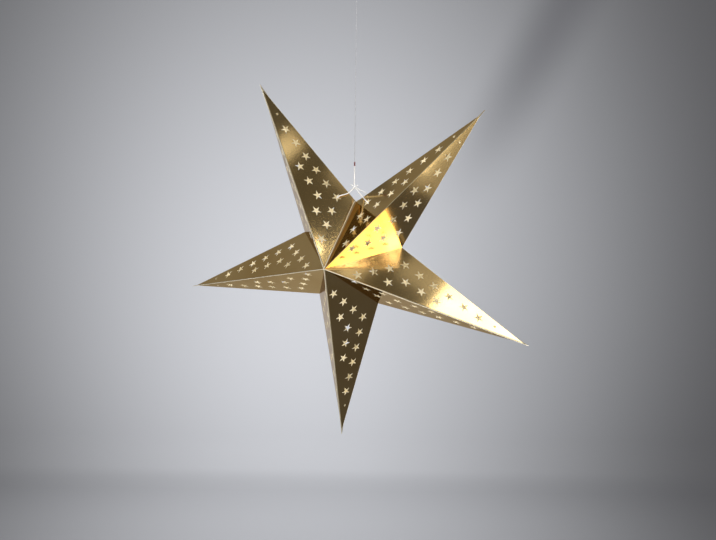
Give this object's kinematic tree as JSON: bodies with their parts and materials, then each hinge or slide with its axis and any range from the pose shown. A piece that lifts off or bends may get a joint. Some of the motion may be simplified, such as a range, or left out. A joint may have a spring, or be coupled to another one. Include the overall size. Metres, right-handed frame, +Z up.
{
  "type": "star lantern",
  "caption": "Five-armed hollow star of folded gold foil card, pierced with star-shaped holes, laced along one seam and hung by a thin line with a loop",
  "frame": {"origin": "inner top of the small loop at the head of the hanging line, where a hook carries the star", "axes": "+Z up along the taut line, +Y from the front apex to the back apex of the star, +X to the star's right as seen from the front"},
  "size_m": [0.6126, 0.2262, 0.7519],
  "materials": {
    "foil_card": "gold metallic foil outside, cream card inside and at cut edges",
    "white_string": "thin twisted white string",
    "dark_crimp": "small dark red tube",
    "clear_line": "thin clear monofilament that reads grey"
  },
  "bodies": {
    "root": {"upper_left_arm_left_leaf": "foil_card", "upper_left_arm_right_leaf": "foil_card", "upper_right_arm_left_leaf": "foil_card", "upper_right_arm_right_leaf": "foil_card", "right_arm_left_leaf": "foil_card", "right_arm_right_leaf": "foil_card", "lower_arm_left_leaf": "foil_card", "lower_arm_right_leaf": "foil_card", "left_arm_left_leaf": "foil_card", "left_arm_right_leaf": "foil_card", "left_tie_string": "white_string", "right_tie_string": "white_string", "tie_knot": "white_string", "riser_string": "white_string", "crimp": "dark_crimp", "hanging_line": "clear_line", "loop_knot": "clear_line", "line_loop": "clear_line"}
  },
  "joints": []
}
